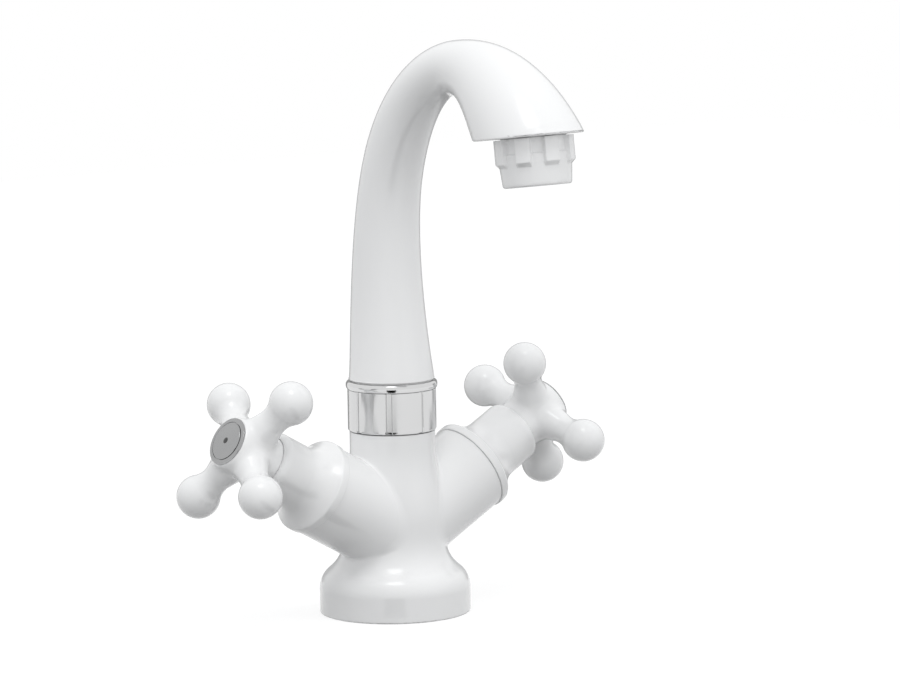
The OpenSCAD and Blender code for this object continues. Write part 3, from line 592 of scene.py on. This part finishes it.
def spine(s):
    """Reach, height, radius and heading of the spout's centre line, s counting knots from the foot."""
    place = np.zeros((len(s), 3))
    ahead = np.zeros((len(s), 3))
    for n, (a, b) in enumerate(zip(KNOTS[:-1], KNOTS[1:])):
        p0, p3 = np.array([a[0], a[1], a[3]]), np.array([b[0], b[1], b[3]])
        p1, p2 = p0 + a[6] * np.append(way_of(a[2]), a[4]), p3 - b[5] * np.append(way_of(b[2]), b[4])
        here = (s >= n) & (s <= n + 1)
        place[here] = bezier_at((p0, p1, p2, p3), s[here] - n)
        t = (s[here] - n)[:, None]
        ahead[here] = 3 * ((1 - t) ** 2 * (p1 - p0) + 2 * (1 - t) * t * (p2 - p1) + t * t * (p3 - p2))
    last = KNOTS[-1]
    beyond = s > len(KNOTS) - 1
    way = way_of(last[2])
    place[beyond] = [last[0], last[1], last[3]]
    place[beyond, :2] += (s[beyond] - len(KNOTS) + 1)[:, None] * RUN_OUT * way
    ahead[beyond, :2] = way
    heading = ahead[:, :2] / np.linalg.norm(ahead[:, :2], axis=1, keepdims=True)
    return place, heading


def ring_points(place, heading, radius, a):
    """Points round the centre line, one for each place and angle that are given together."""
    return np.stack([radius * np.sin(a), -(place[..., 0] + radius * np.cos(a) * heading[..., 1]),
                     place[..., 1] - radius * np.cos(a) * heading[..., 0]], -1)


def make_spout(sides=144):
    """Rings from the foot up and over to the outlet's face, and back through the waterway."""
    a = np.arange(sides) * 2 * math.pi / sides
    tilt = math.radians(OUTLET_TILT)
    out = np.array([0, -math.sin(tilt), -math.cos(tilt)])
    centre = np.array([0, -OUTLET_REACH, OUTLET_Z])
    # Counted in knots: where the rings begin to lean, beyond the outlet, and the waterway's two ends
    lean_from, beyond, bore_from, bore_to = 2.2, 4.0, 2.56, 2 / 14
    near_face, lip, thread_bevel, shoulder, foot_edge = 0.975, 0.9, 0.4, 0.5, 0.4

    def on_skin(s):
        place, heading = spine(s)
        return ring_points(place, heading, place[:, 2], a)

    # Where each line of the skin meets the outlet's face
    low, high = np.full(sides, lean_from), np.full(sides, beyond)
    for _ in range(40):
        middle = (low + high) / 2
        past = (on_skin(middle) - centre) @ out > 0
        low, high = np.where(past, low, middle), np.where(past, middle, high)
    end = (low + high) / 2
    corner = on_skin(end)

    square = [np.linspace(0, 1, 61)[1:], np.linspace(1, 2, 61)[1:], np.linspace(2, lean_from, 13)[1:]]
    rows = [on_skin(np.full(sides, s)) for s in np.concatenate(square)]
    for share in np.linspace(0, 1, 49)[1:]:
        rows.append(on_skin(lean_from + (end - lean_from) * share * near_face))

    # The rounded lip, the face and the thread's hole
    back = rows[-1] - corner
    back = corner + back / np.linalg.norm(back, axis=1, keepdims=True) * lip
    inward = centre - corner
    inward = inward / np.linalg.norm(inward, axis=1, keepdims=True)
    face = corner + inward * lip
    for t in np.linspace(0, 1, 7):
        rows.append((1 - t) ** 2 * back + 2 * (1 - t) * t * corner + t * t * face)
    rows.append(centre - inward * (THREAD_R + thread_bevel))
    rows.append(centre - inward * THREAD_R - thread_bevel * out)
    depth = THREAD_LEN + WASHER_T
    rows.append(centre - inward * THREAD_R - depth * out)

    # The waterway and the spigot's hole
    stop = centre - (depth - shoulder) * out
    place = np.array([[-stop[1], stop[2], 0]] * sides)
    heading = np.array([[math.sin(tilt), -math.cos(tilt)]] * sides)
    rows.append(ring_points(place, heading, WATERWAY_R, a))
    for s in np.linspace(bore_from, bore_to, 70):
        place, heading = spine(np.full(sides, s))
        rows.append(ring_points(place, heading, np.minimum(WATERWAY_R, place[:, 2] - SPOUT_WALL), a))
    up = np.array([[0.0, 1.0]] * sides)

    def level(radius, z):
        return ring_points(np.array([[0, z, 0]] * sides), up, radius, a)

    rows.append(level(SPIGOT_HOLE_R, FOOT_Z + SPIGOT_HOLE_DEEP))
    rows.append(level(SPIGOT_HOLE_R, FOOT_Z))
    foot_r = KNOTS[0][3]
    for angle in np.linspace(-90, 0, 6):
        turn = math.radians(angle)
        rows.append(level(foot_r - foot_edge + foot_edge * math.cos(turn),
                          FOOT_Z + foot_edge + foot_edge * math.sin(turn)))
    rows = np.array(rows)
    mesh = new_mesh("spout_skin", rows.reshape(-1, 3), grid_faces(len(rows), sides, True))
    piece("spout_skin", mesh, "spout", white, "spout", sharp=35)


# Turned pieces

def make_covers():
    rim_top = COVER_FROM + RIM_H
    flare_end = rim_top + FLARE_LEN
    slope = math.radians(FLARE_SLOPE)
    corner = arc([RIM_R - RIM_EDGE, rim_top - RIM_EDGE], RIM_EDGE, 0, FLARE_SLOPE, 8)
    toward = corner[-1] + FLARE_PULL * np.array([-math.sin(slope), math.cos(slope)])
    a = np.radians(np.linspace(0, 90, 15))
    nose = np.stack([COVER_MOUTH_R + (SLEEVE_R - COVER_MOUTH_R) * np.cos(a),
                     COVER_END - COVER_ROUND * (1 - np.sin(a))], 1)
    outline = np.concatenate([
        [[CAVITY_R, COVER_FROM]],
        arc([RIM_R - COVER_EDGE, COVER_FROM + COVER_EDGE], COVER_EDGE, -90, 0, 8),
        corner[:-1],
        bezier([corner[-1], toward, [SLEEVE_R, flare_end - SLEEVE_PULL], [SLEEVE_R, flare_end]], 40),
        nose,
        [[COVER_MOUTH_R, THREAD_TOP], [COVER_THREAD_R, THREAD_TOP], [COVER_THREAD_R, COVER_SEAT],
         [CAVITY_R, COVER_SEAT]]])
    for name, side in SIDES.items():
        mesh = new_mesh(f"{name}_bonnet_skin", *revolve(outline, 192, closed=True))
        piece(f"{name}_bonnet_skin", mesh, "tap_body", white, f"{name}_bonnet_cover",
              in_arm(side))


def make_buttons():
    groove_w, groove_deep, edge, dome = 0.3, 0.3, 0.4, 0.2
    plug_r, plug_wall, plug_len = WELL_R - FIT, 1.3, WELL_DEEP - 0.3
    foot_edge, rim_from, rim_in, rim_up = 0.2, 0.3, 0.5, 0.15
    groove_r, groove_floor = BUTTON_FACE_R + groove_w, BUTTON_RIM - groove_deep
    face = np.linspace(BUTTON_FACE_R - edge, 0, 24)
    rim = bezier([[BUTTON_R, rim_from], [BUTTON_R, BUTTON_RIM],
                  [BUTTON_R - rim_in, BUTTON_RIM + rim_up], [groove_r, BUTTON_RIM]], 12)
    plug_in = plug_r - plug_wall
    outline = np.concatenate([
        [[0, 0], [plug_in, 0], [plug_in, -plug_len], [plug_r, -plug_len], [plug_r, 0]],
        arc([BUTTON_R - foot_edge, foot_edge], foot_edge, -90, 0, 4), rim,
        [[groove_r, groove_floor], [BUTTON_FACE_R, groove_floor]],
        arc([BUTTON_FACE_R - edge, BUTTON_T - edge], edge, 0, 90, 6)[:-1],
        np.stack([face, BUTTON_T + dome * (1 - (face / BUTTON_FACE_R) ** 2)], 1)])
    top = BUTTON_T + dome
    root, dot_edge, sunk, rise = top - 0.2, 0.05, 0.02, 0.04
    dot_outline = np.concatenate([
        [[0, root], [DOT_R, root]],
        arc([DOT_R - dot_edge, top - sunk], dot_edge, 0, 90, 3),
        [[0, top + rise]]])
    for name, side in SIDES.items():
        place = in_arm(side) @ Matrix.Translation((0, 0, FRONT_AT))
        mesh = new_mesh(f"{name}_button_cap", *revolve(outline, 160))
        piece(f"{name}_button_cap", mesh, f"{name}_handle", satin, f"{name}_button",
              place)
        dot = new_mesh(f"{name}_button_dot", *revolve(dot_outline, 64))
        piece(f"{name}_button_dot", dot, f"{name}_handle", dark, None, place)


def make_trim_ring():
    a = np.radians(np.linspace(-90, 90, 41))
    round_over = 0.75
    outline = np.concatenate([
        [[COLLAR_R, 0]],
        np.stack([TRIM_R - TRIM_BULGE + TRIM_BULGE * np.abs(np.cos(a)) ** round_over,
                  TRIM_H / 2 * (1 + np.sin(a))], 1),
        [[COLLAR_R, TRIM_H]]])
    mesh = new_mesh("trim_ring_band", *revolve(outline, 224, closed=True))
    piece("trim_ring_band", mesh, "tap_body", chrome, "trim_ring",
          Matrix.Translation((0, 0, NUT_TOP)))


def polar_piece(angles, outlines):
    """A grid round Z with its own outline at every angle. Outlines all have as many points."""
    outlines = np.array(outlines, float)
    a = np.array(angles)[:, None]
    radius, height = outlines[..., 0], outlines[..., 1]
    points = np.stack([radius * np.cos(a), radius * np.sin(a), height], -1).transpose(1, 0, 2)
    return points.reshape(-1, 3), grid_faces(points.shape[0], points.shape[1], True)


def all_round(count, start, side, level, between):
    """Angles round Z, and at each the share of a flute's depth or of a lug's height. Its one side, its
    level part and what lies between two of them are given by angle from its middle."""
    other_side = [(-x, share) for x, share in reversed(side)]
    angles, shares = [], []
    for i in range(count):
        middle = start + 2 * math.pi * i / count
        for x, share in side + level + other_side + between:
            angles.append(middle + x)
            shares.append(share)
    return angles, shares


def make_nut():
    half = math.asin(FLUTE_W / 2 / NUT_R)
    wall, top_edge = 0.2 / NUT_R, 0.15
    side = [(-half - 3 * wall, 0), (-half - wall, 0), (-half - 0.4 * wall, 0.04), (-half, 0.2),
            (-half + 0.6 * wall, 0.85), (-half + wall, 0.98), (-half + 1.6 * wall, 1)]
    floor = [(x, 1) for x in np.linspace(-0.7, 0.7, 5) * half]
    land = math.pi / FLUTES - half - 3 * wall
    between = [(half + 3 * wall + land * 2 * share, 0) for share in np.linspace(0, 1, 16)[1:-1]]
    angles, shares = all_round(FLUTES, math.radians(NUT_TURN), side, floor, between)
    # Close together where the foot's edge is rounded
    heights = [0, 0.05, 0.2, 0.45, NUT_EDGE, *np.linspace(NUT_EDGE + 0.5, NUT_H - top_edge, 12), NUT_H]
    outlines = []
    for share in shares:
        ring = [(NUT_THREAD_R, 0)]
        for z in heights:
            radius = NUT_R
            if z < NUT_EDGE:
                radius -= NUT_EDGE - math.sqrt(max(NUT_EDGE ** 2 - (NUT_EDGE - z) ** 2, 0))
            if z > NUT_H - top_edge:
                radius -= top_edge
            ring.append((radius - FLUTE_DEEP * share, z))
        ring += [(COLLAR_R, NUT_H), (COLLAR_R, NUT_H - NUT_FLANGE), (NUT_THREAD_R, NUT_H - NUT_FLANGE)]
        outlines.append(ring)
    mesh = new_mesh("union_nut_shell", *polar_piece(angles, outlines))
    piece("union_nut_shell", mesh, "tap_body", soft_chrome, "union_nut",
          Matrix.Translation((0, 0, NUT_Z)))


def make_aerator():
    soft = math.radians(2.0)
    half = math.radians(LUG_ANGLE / 2)
    side = [(-half - soft, 0), (-half - soft * 0.6, 0.06), (-half, 0.5), (-half + soft * 0.6, 0.94),
            (-half + soft, 1)]
    top = [(x, 1) for x in np.linspace(-0.7, 0.7, 9) * half]
    rest = 2 * math.pi / LUGS - 2 * (half + soft)
    between = [(half + soft + rest * t, 0) for t in np.linspace(0, 1, 10)[1:-1]]
    angles, shares = all_round(LUGS, -math.radians(LUG_SHIFT), side, top, between)
    recess_r = NOZZLE_R - RECESS_DEEP
    gap, corner, bevel, edge = 0.35, 0.3, 0.4, 0.8

    def plain(z):
        if z <= RECESS:
            return recess_r
        if z <= RECESS + RECESS_DEEP:
            return recess_r + z - RECESS
        if z <= LUG_LEN:
            return NOZZLE_R
        return NOZZLE_R + (NOZZLE_END_R - NOZZLE_R) * (z - LUG_LEN) / (NOZZLE_LEN - LUG_LEN)

    def lug(z):
        if z <= LUG_LEN - corner:
            return LUG_R
        return LUG_R - max(z - LUG_LEN, 0) - max(0, corner - abs(z - LUG_LEN)) ** 2 / (4 * corner)

    neck, bore = THREAD_R - gap, INSERT_R + gap
    end_r, end_z = NOZZLE_END_R - edge, NOZZLE_LEN - edge
    # Close together at the recess and where the lugs slope down to the nozzle
    heights = sorted(set(np.round(np.concatenate([
        np.linspace(gap, RECESS - 0.3, 6), np.linspace(RECESS - 0.2, RECESS + RECESS_DEEP + 0.3, 8),
        np.linspace(LUG_LEN - 0.4, LUG_LEN + 2.4, 18), np.linspace(LUG_LEN + 2.6, end_z, 7)]), 4)))
    outlines = []
    for share in shares:
        ring = [(bore, -THREAD_LEN), (neck - bevel, -THREAD_LEN), (neck, bevel - THREAD_LEN),
                (neck, gap)]
        for z in heights:
            base = plain(z)
            ring.append((base + share * max(lug(z) - base, 0), z))
        for turn in np.radians(np.linspace(0, 90, 6)[1:]):
            ring.append((end_r + edge * math.cos(turn), end_z + edge * math.sin(turn)))
        ring += [(INSERT_R - LIP_W, NOZZLE_LEN), (INSERT_R - LIP_W, NOZZLE_LEN - LIP_T),
                 (bore, NOZZLE_LEN - LIP_T)]
        outlines.append(ring)
    mesh = new_mesh("aerator_shell", *polar_piece(angles, outlines))
    piece("aerator_shell", mesh, "spout", white, "aerator_housing", AT_OUTLET)


def dress_cad_nodes():
    slots = {m["slot"]: MATERIALS[m["slot"]] for m in frame["record"]["materials"]}
    for obj in frame["nodes"].values():
        for own in obj.material_slots:
            name = own.material.name.partition(".")[0] if own.material else ""
            own.material = slots.get(name, white)


# Studio

def direction(turn, rise):
    """Unit vector out from the tap, turned from its front to its left and raised, in degrees."""
    a, e = math.radians(turn), math.radians(rise)
    return Vector((-math.sin(a) * math.cos(e), -math.cos(a) * math.cos(e), math.sin(e)))


def softbox(name, turn, rise, size, watts):
    """A square lamp aimed at the tap, turned to the right of the camera and raised, in degrees. It
    isn't mirrored itself."""
    lamp = bpy.data.lights.new(name, "AREA")
    lamp.size = size
    lamp.energy = watts
    obj = bpy.data.objects.new(name, lamp)
    way = direction(CAMERA_TURN - turn, rise)
    obj.location = Vector((0, 0, LAMP_AIM)) + LAMP_DISTANCE * way
    obj.rotation_euler = way.to_track_quat("Z", "Y").to_euler()
    obj.visible_glossy = False
    bpy.context.scene.collection.objects.link(obj)


def mirrored_card(name, vertices, faces, glow):
    """Something in the studio that only shows where the gloss and the chrome mirror it."""
    material = bpy.data.materials.new(name)
    material.use_nodes = True
    body = material.node_tree.nodes["Principled BSDF"]
    body.inputs["Base Color"].default_value = (0, 0, 0, 1)
    body.inputs["Specular IOR Level"].default_value = 0.0
    body.inputs["Emission Color"].default_value = (1, 1, 1, 1)
    body.inputs["Emission Strength"].default_value = glow
    mesh = bpy.data.meshes.new(name)
    mesh.from_pydata(vertices, [], faces)
    mesh.materials.append(material)
    obj = bpy.data.objects.new(name, mesh)
    bpy.context.scene.collection.objects.link(obj)
    obj.visible_camera = obj.visible_diffuse = obj.visible_shadow = obj.visible_transmission = False


def make_card(name, half, low, high, far, glow):
    """A mirrored card towards the camera. It spans half to each side of it, and two rises, in degrees."""
    corners = []
    for side, rise in ((-1, low), (1, low), (1, high), (-1, high)):
        corners.append(Vector((0, 0, CARD_AIM)) + far * direction(CAMERA_TURN - side * half, rise))
    mirrored_card(name, corners, [(0, 1, 2, 3)], glow)


def make_floor_card(name, half, near, far, glow, above_floor=0.0002):
    """A mirrored card lying on the floor towards the camera, between two distances."""
    corners = []
    for side, reach in ((-1, near), (1, near), (1, far), (-1, far)):
        corners.append(Vector((0, 0, above_floor)) + reach * direction(CAMERA_TURN - side * half, 0))
    mirrored_card(name, corners, [(0, 1, 2, 3)], glow)


def make_surround(inner=9.0, outer=32.0, far=1.3, glow=0.36, sides=48):
    """A grey ring round the pale background, mirrored at the edges of the gloss and the chrome. It
    spans from inner to outer degrees off the line of sight. Its lower part is drawn in above the floor."""
    back, right, up = (v.normalized() for v in camera_axes())
    steepest, lowest = -0.07, 0.098
    vertices, faces = [], []
    for spread in (inner, outer):
        for k in range(sides):
            a = 2 * math.pi * k / sides
            way = (right * math.cos(a) + up * math.sin(a)) * math.tan(math.radians(spread)) - back
            way.normalize()
            reach = far if way.z > steepest else min(far, lowest / -way.z)
            vertices.append(Vector((0, 0, LAMP_AIM)) + way * reach)
    for k in range(sides):
        m = (k + 1) % sides
        faces.append((k, m, sides + m, sides + k))
    mirrored_card("surround", vertices, faces, glow)


def seen_or_mirrored(nodes, links):
    """1 for what the camera sees, also in gloss and through glass, and 0 for the light on the tap."""
    path = nodes.new("ShaderNodeLightPath")
    seen = path.outputs["Is Camera Ray"]
    for kind in ("Is Glossy Ray", "Is Transmission Ray"):
        either = nodes.new("ShaderNodeMath")
        either.operation = "MAXIMUM"
        links.new(seen, either.inputs[0])
        links.new(path.outputs[kind], either.inputs[1])
        seen = either.outputs[0]
    return seen


def make_world(ambient):
    world = bpy.data.worlds.new("studio")
    bpy.context.scene.world = world
    world.use_nodes = True
    nodes, links = world.node_tree.nodes, world.node_tree.links
    nodes.clear()
    light, backdrop = nodes.new("ShaderNodeBackground"), nodes.new("ShaderNodeBackground")
    light.inputs["Color"].default_value = (0.98, 0.99, 1, 1)
    light.inputs["Strength"].default_value = ambient
    backdrop.inputs["Color"].default_value = (1, 1, 1, 1)
    backdrop.inputs["Strength"].default_value = 1
    mix, out = nodes.new("ShaderNodeMixShader"), nodes.new("ShaderNodeOutputWorld")
    links.new(seen_or_mirrored(nodes, links), mix.inputs["Fac"])
    links.new(light.outputs[0], mix.inputs[1])
    links.new(backdrop.outputs[0], mix.inputs[2])
    links.new(mix.outputs[0], out.inputs["Surface"])


def make_floor(size=3.0, colour=0.25, glow=0.8):
    """A pale floor just under the base's underside, so that no two faces lie in one plane."""
    mesh = bpy.data.meshes.new("floor")
    s, level = size / 2, -0.00005
    corners = [(-s, -s, level), (s, -s, level), (s, s, level), (-s, s, level)]
    mesh.from_pydata(corners, [], [(0, 1, 2, 3)])
    floor = bpy.data.objects.new("floor", mesh)
    bpy.context.scene.collection.objects.link(floor)
    material = bpy.data.materials.new("floor_paper")
    material.use_nodes = True
    nodes, links = material.node_tree.nodes, material.node_tree.links
    body = nodes["Principled BSDF"]
    body.inputs["Base Color"].default_value = (colour, colour, colour, 1)
    body.inputs["Roughness"].default_value = 0.9
    body.inputs["Specular IOR Level"].default_value = 0.0
    body.inputs["Emission Color"].default_value = (1, 1, 1, 1)
    strength = nodes.new("ShaderNodeMath")
    strength.operation = "MULTIPLY"
    links.new(seen_or_mirrored(nodes, links), strength.inputs[0])
    strength.inputs[1].default_value = glow
    links.new(strength.outputs[0], body.inputs["Emission Strength"])
    mesh.materials.append(material)


def camera_axes():
    """Unit vectors towards the camera, to its right and to its top, before it is rolled."""
    turn = math.radians(CAMERA_TURN)
    back = direction(CAMERA_TURN, CAMERA_RISE)
    right = Vector((math.cos(turn), -math.sin(turn), 0))
    return back, right, back.cross(right)


def make_camera():
    back, right, up = camera_axes()
    roll = math.radians(CAMERA_ROLL)
    place = Vector((0, 0, AIM_HEIGHT)) + AIM_RIGHT * right + CAMERA_DISTANCE * back
    x = right * math.cos(roll) + up * math.sin(roll)
    y = up * math.cos(roll) - right * math.sin(roll)
    data = bpy.data.cameras.new("camera")
    data.sensor_width = SENSOR
    data.sensor_fit = "HORIZONTAL"
    data.lens = FOCAL_PIXELS * SENSOR / PHOTO_WIDTH
    data.clip_end = 20
    camera = bpy.data.objects.new("camera", data)
    axes = Matrix((x, y, back)).transposed().to_4x4()
    camera.matrix_world = Matrix.Translation(place * MM) @ axes
    bpy.context.scene.collection.objects.link(camera)
    bpy.context.scene.camera = camera


make_camera()
dress_cad_nodes()
make_body()
make_handles()
make_spout()
make_covers()
make_buttons()
make_trim_ring()
make_nut()
make_aerator()
make_floor()
make_world(ambient=0.875)
make_surround()
make_floor_card("front_card", half=12, near=0.04, far=0.41, glow=0.0)
make_card("highlight", half=20, low=57, high=73, far=1.4, glow=4.2)
softbox("key", turn=0, rise=65, size=0.6, watts=6.3)
softbox("front", turn=0, rise=8, size=1.1, watts=2.3)
softbox("right", turn=60, rise=8, size=1.1, watts=4.7)
softbox("left", turn=-60, rise=8, size=0.25, watts=0.6)
bpy.context.scene.view_settings.view_transform = "Standard"
